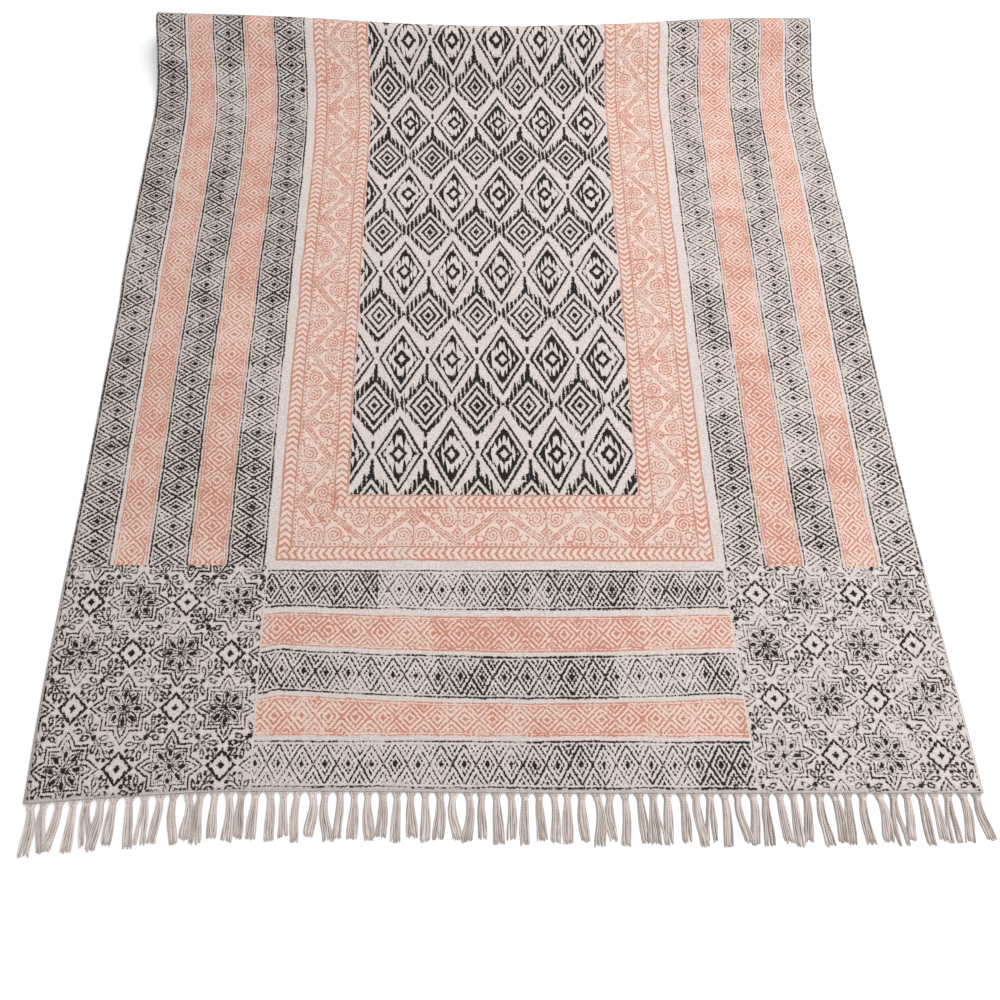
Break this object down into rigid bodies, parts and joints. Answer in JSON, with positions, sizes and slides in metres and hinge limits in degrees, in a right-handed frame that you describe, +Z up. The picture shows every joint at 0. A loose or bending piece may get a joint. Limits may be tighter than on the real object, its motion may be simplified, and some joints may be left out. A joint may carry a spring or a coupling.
{
  "type": "flatweave rug",
  "caption": "Flatweave cotton rug with hand-printed stripes and field, lying flat with its far end turned under, and a knotted fringe at each end.",
  "frame": {"origin": "middle of the rug's box as it lies, fringes and fold included, on the floor", "axes": "+X across the rug, +Y along it from the near fringe to the turned-under end, +Z up from the floor"},
  "size_m": [1.2262, 1.463, 0.0579],
  "materials": {
    "printed_cotton": "matt flatweave cotton, printed by hand in black and coral",
    "fringe_yarn": "matt undyed cotton yarn"
  },
  "bodies": {
    "root": {"rug_cloth": "printed_cotton", "fringe_near": "fringe_yarn", "fringe_far": "fringe_yarn"}
  },
  "joints": []
}
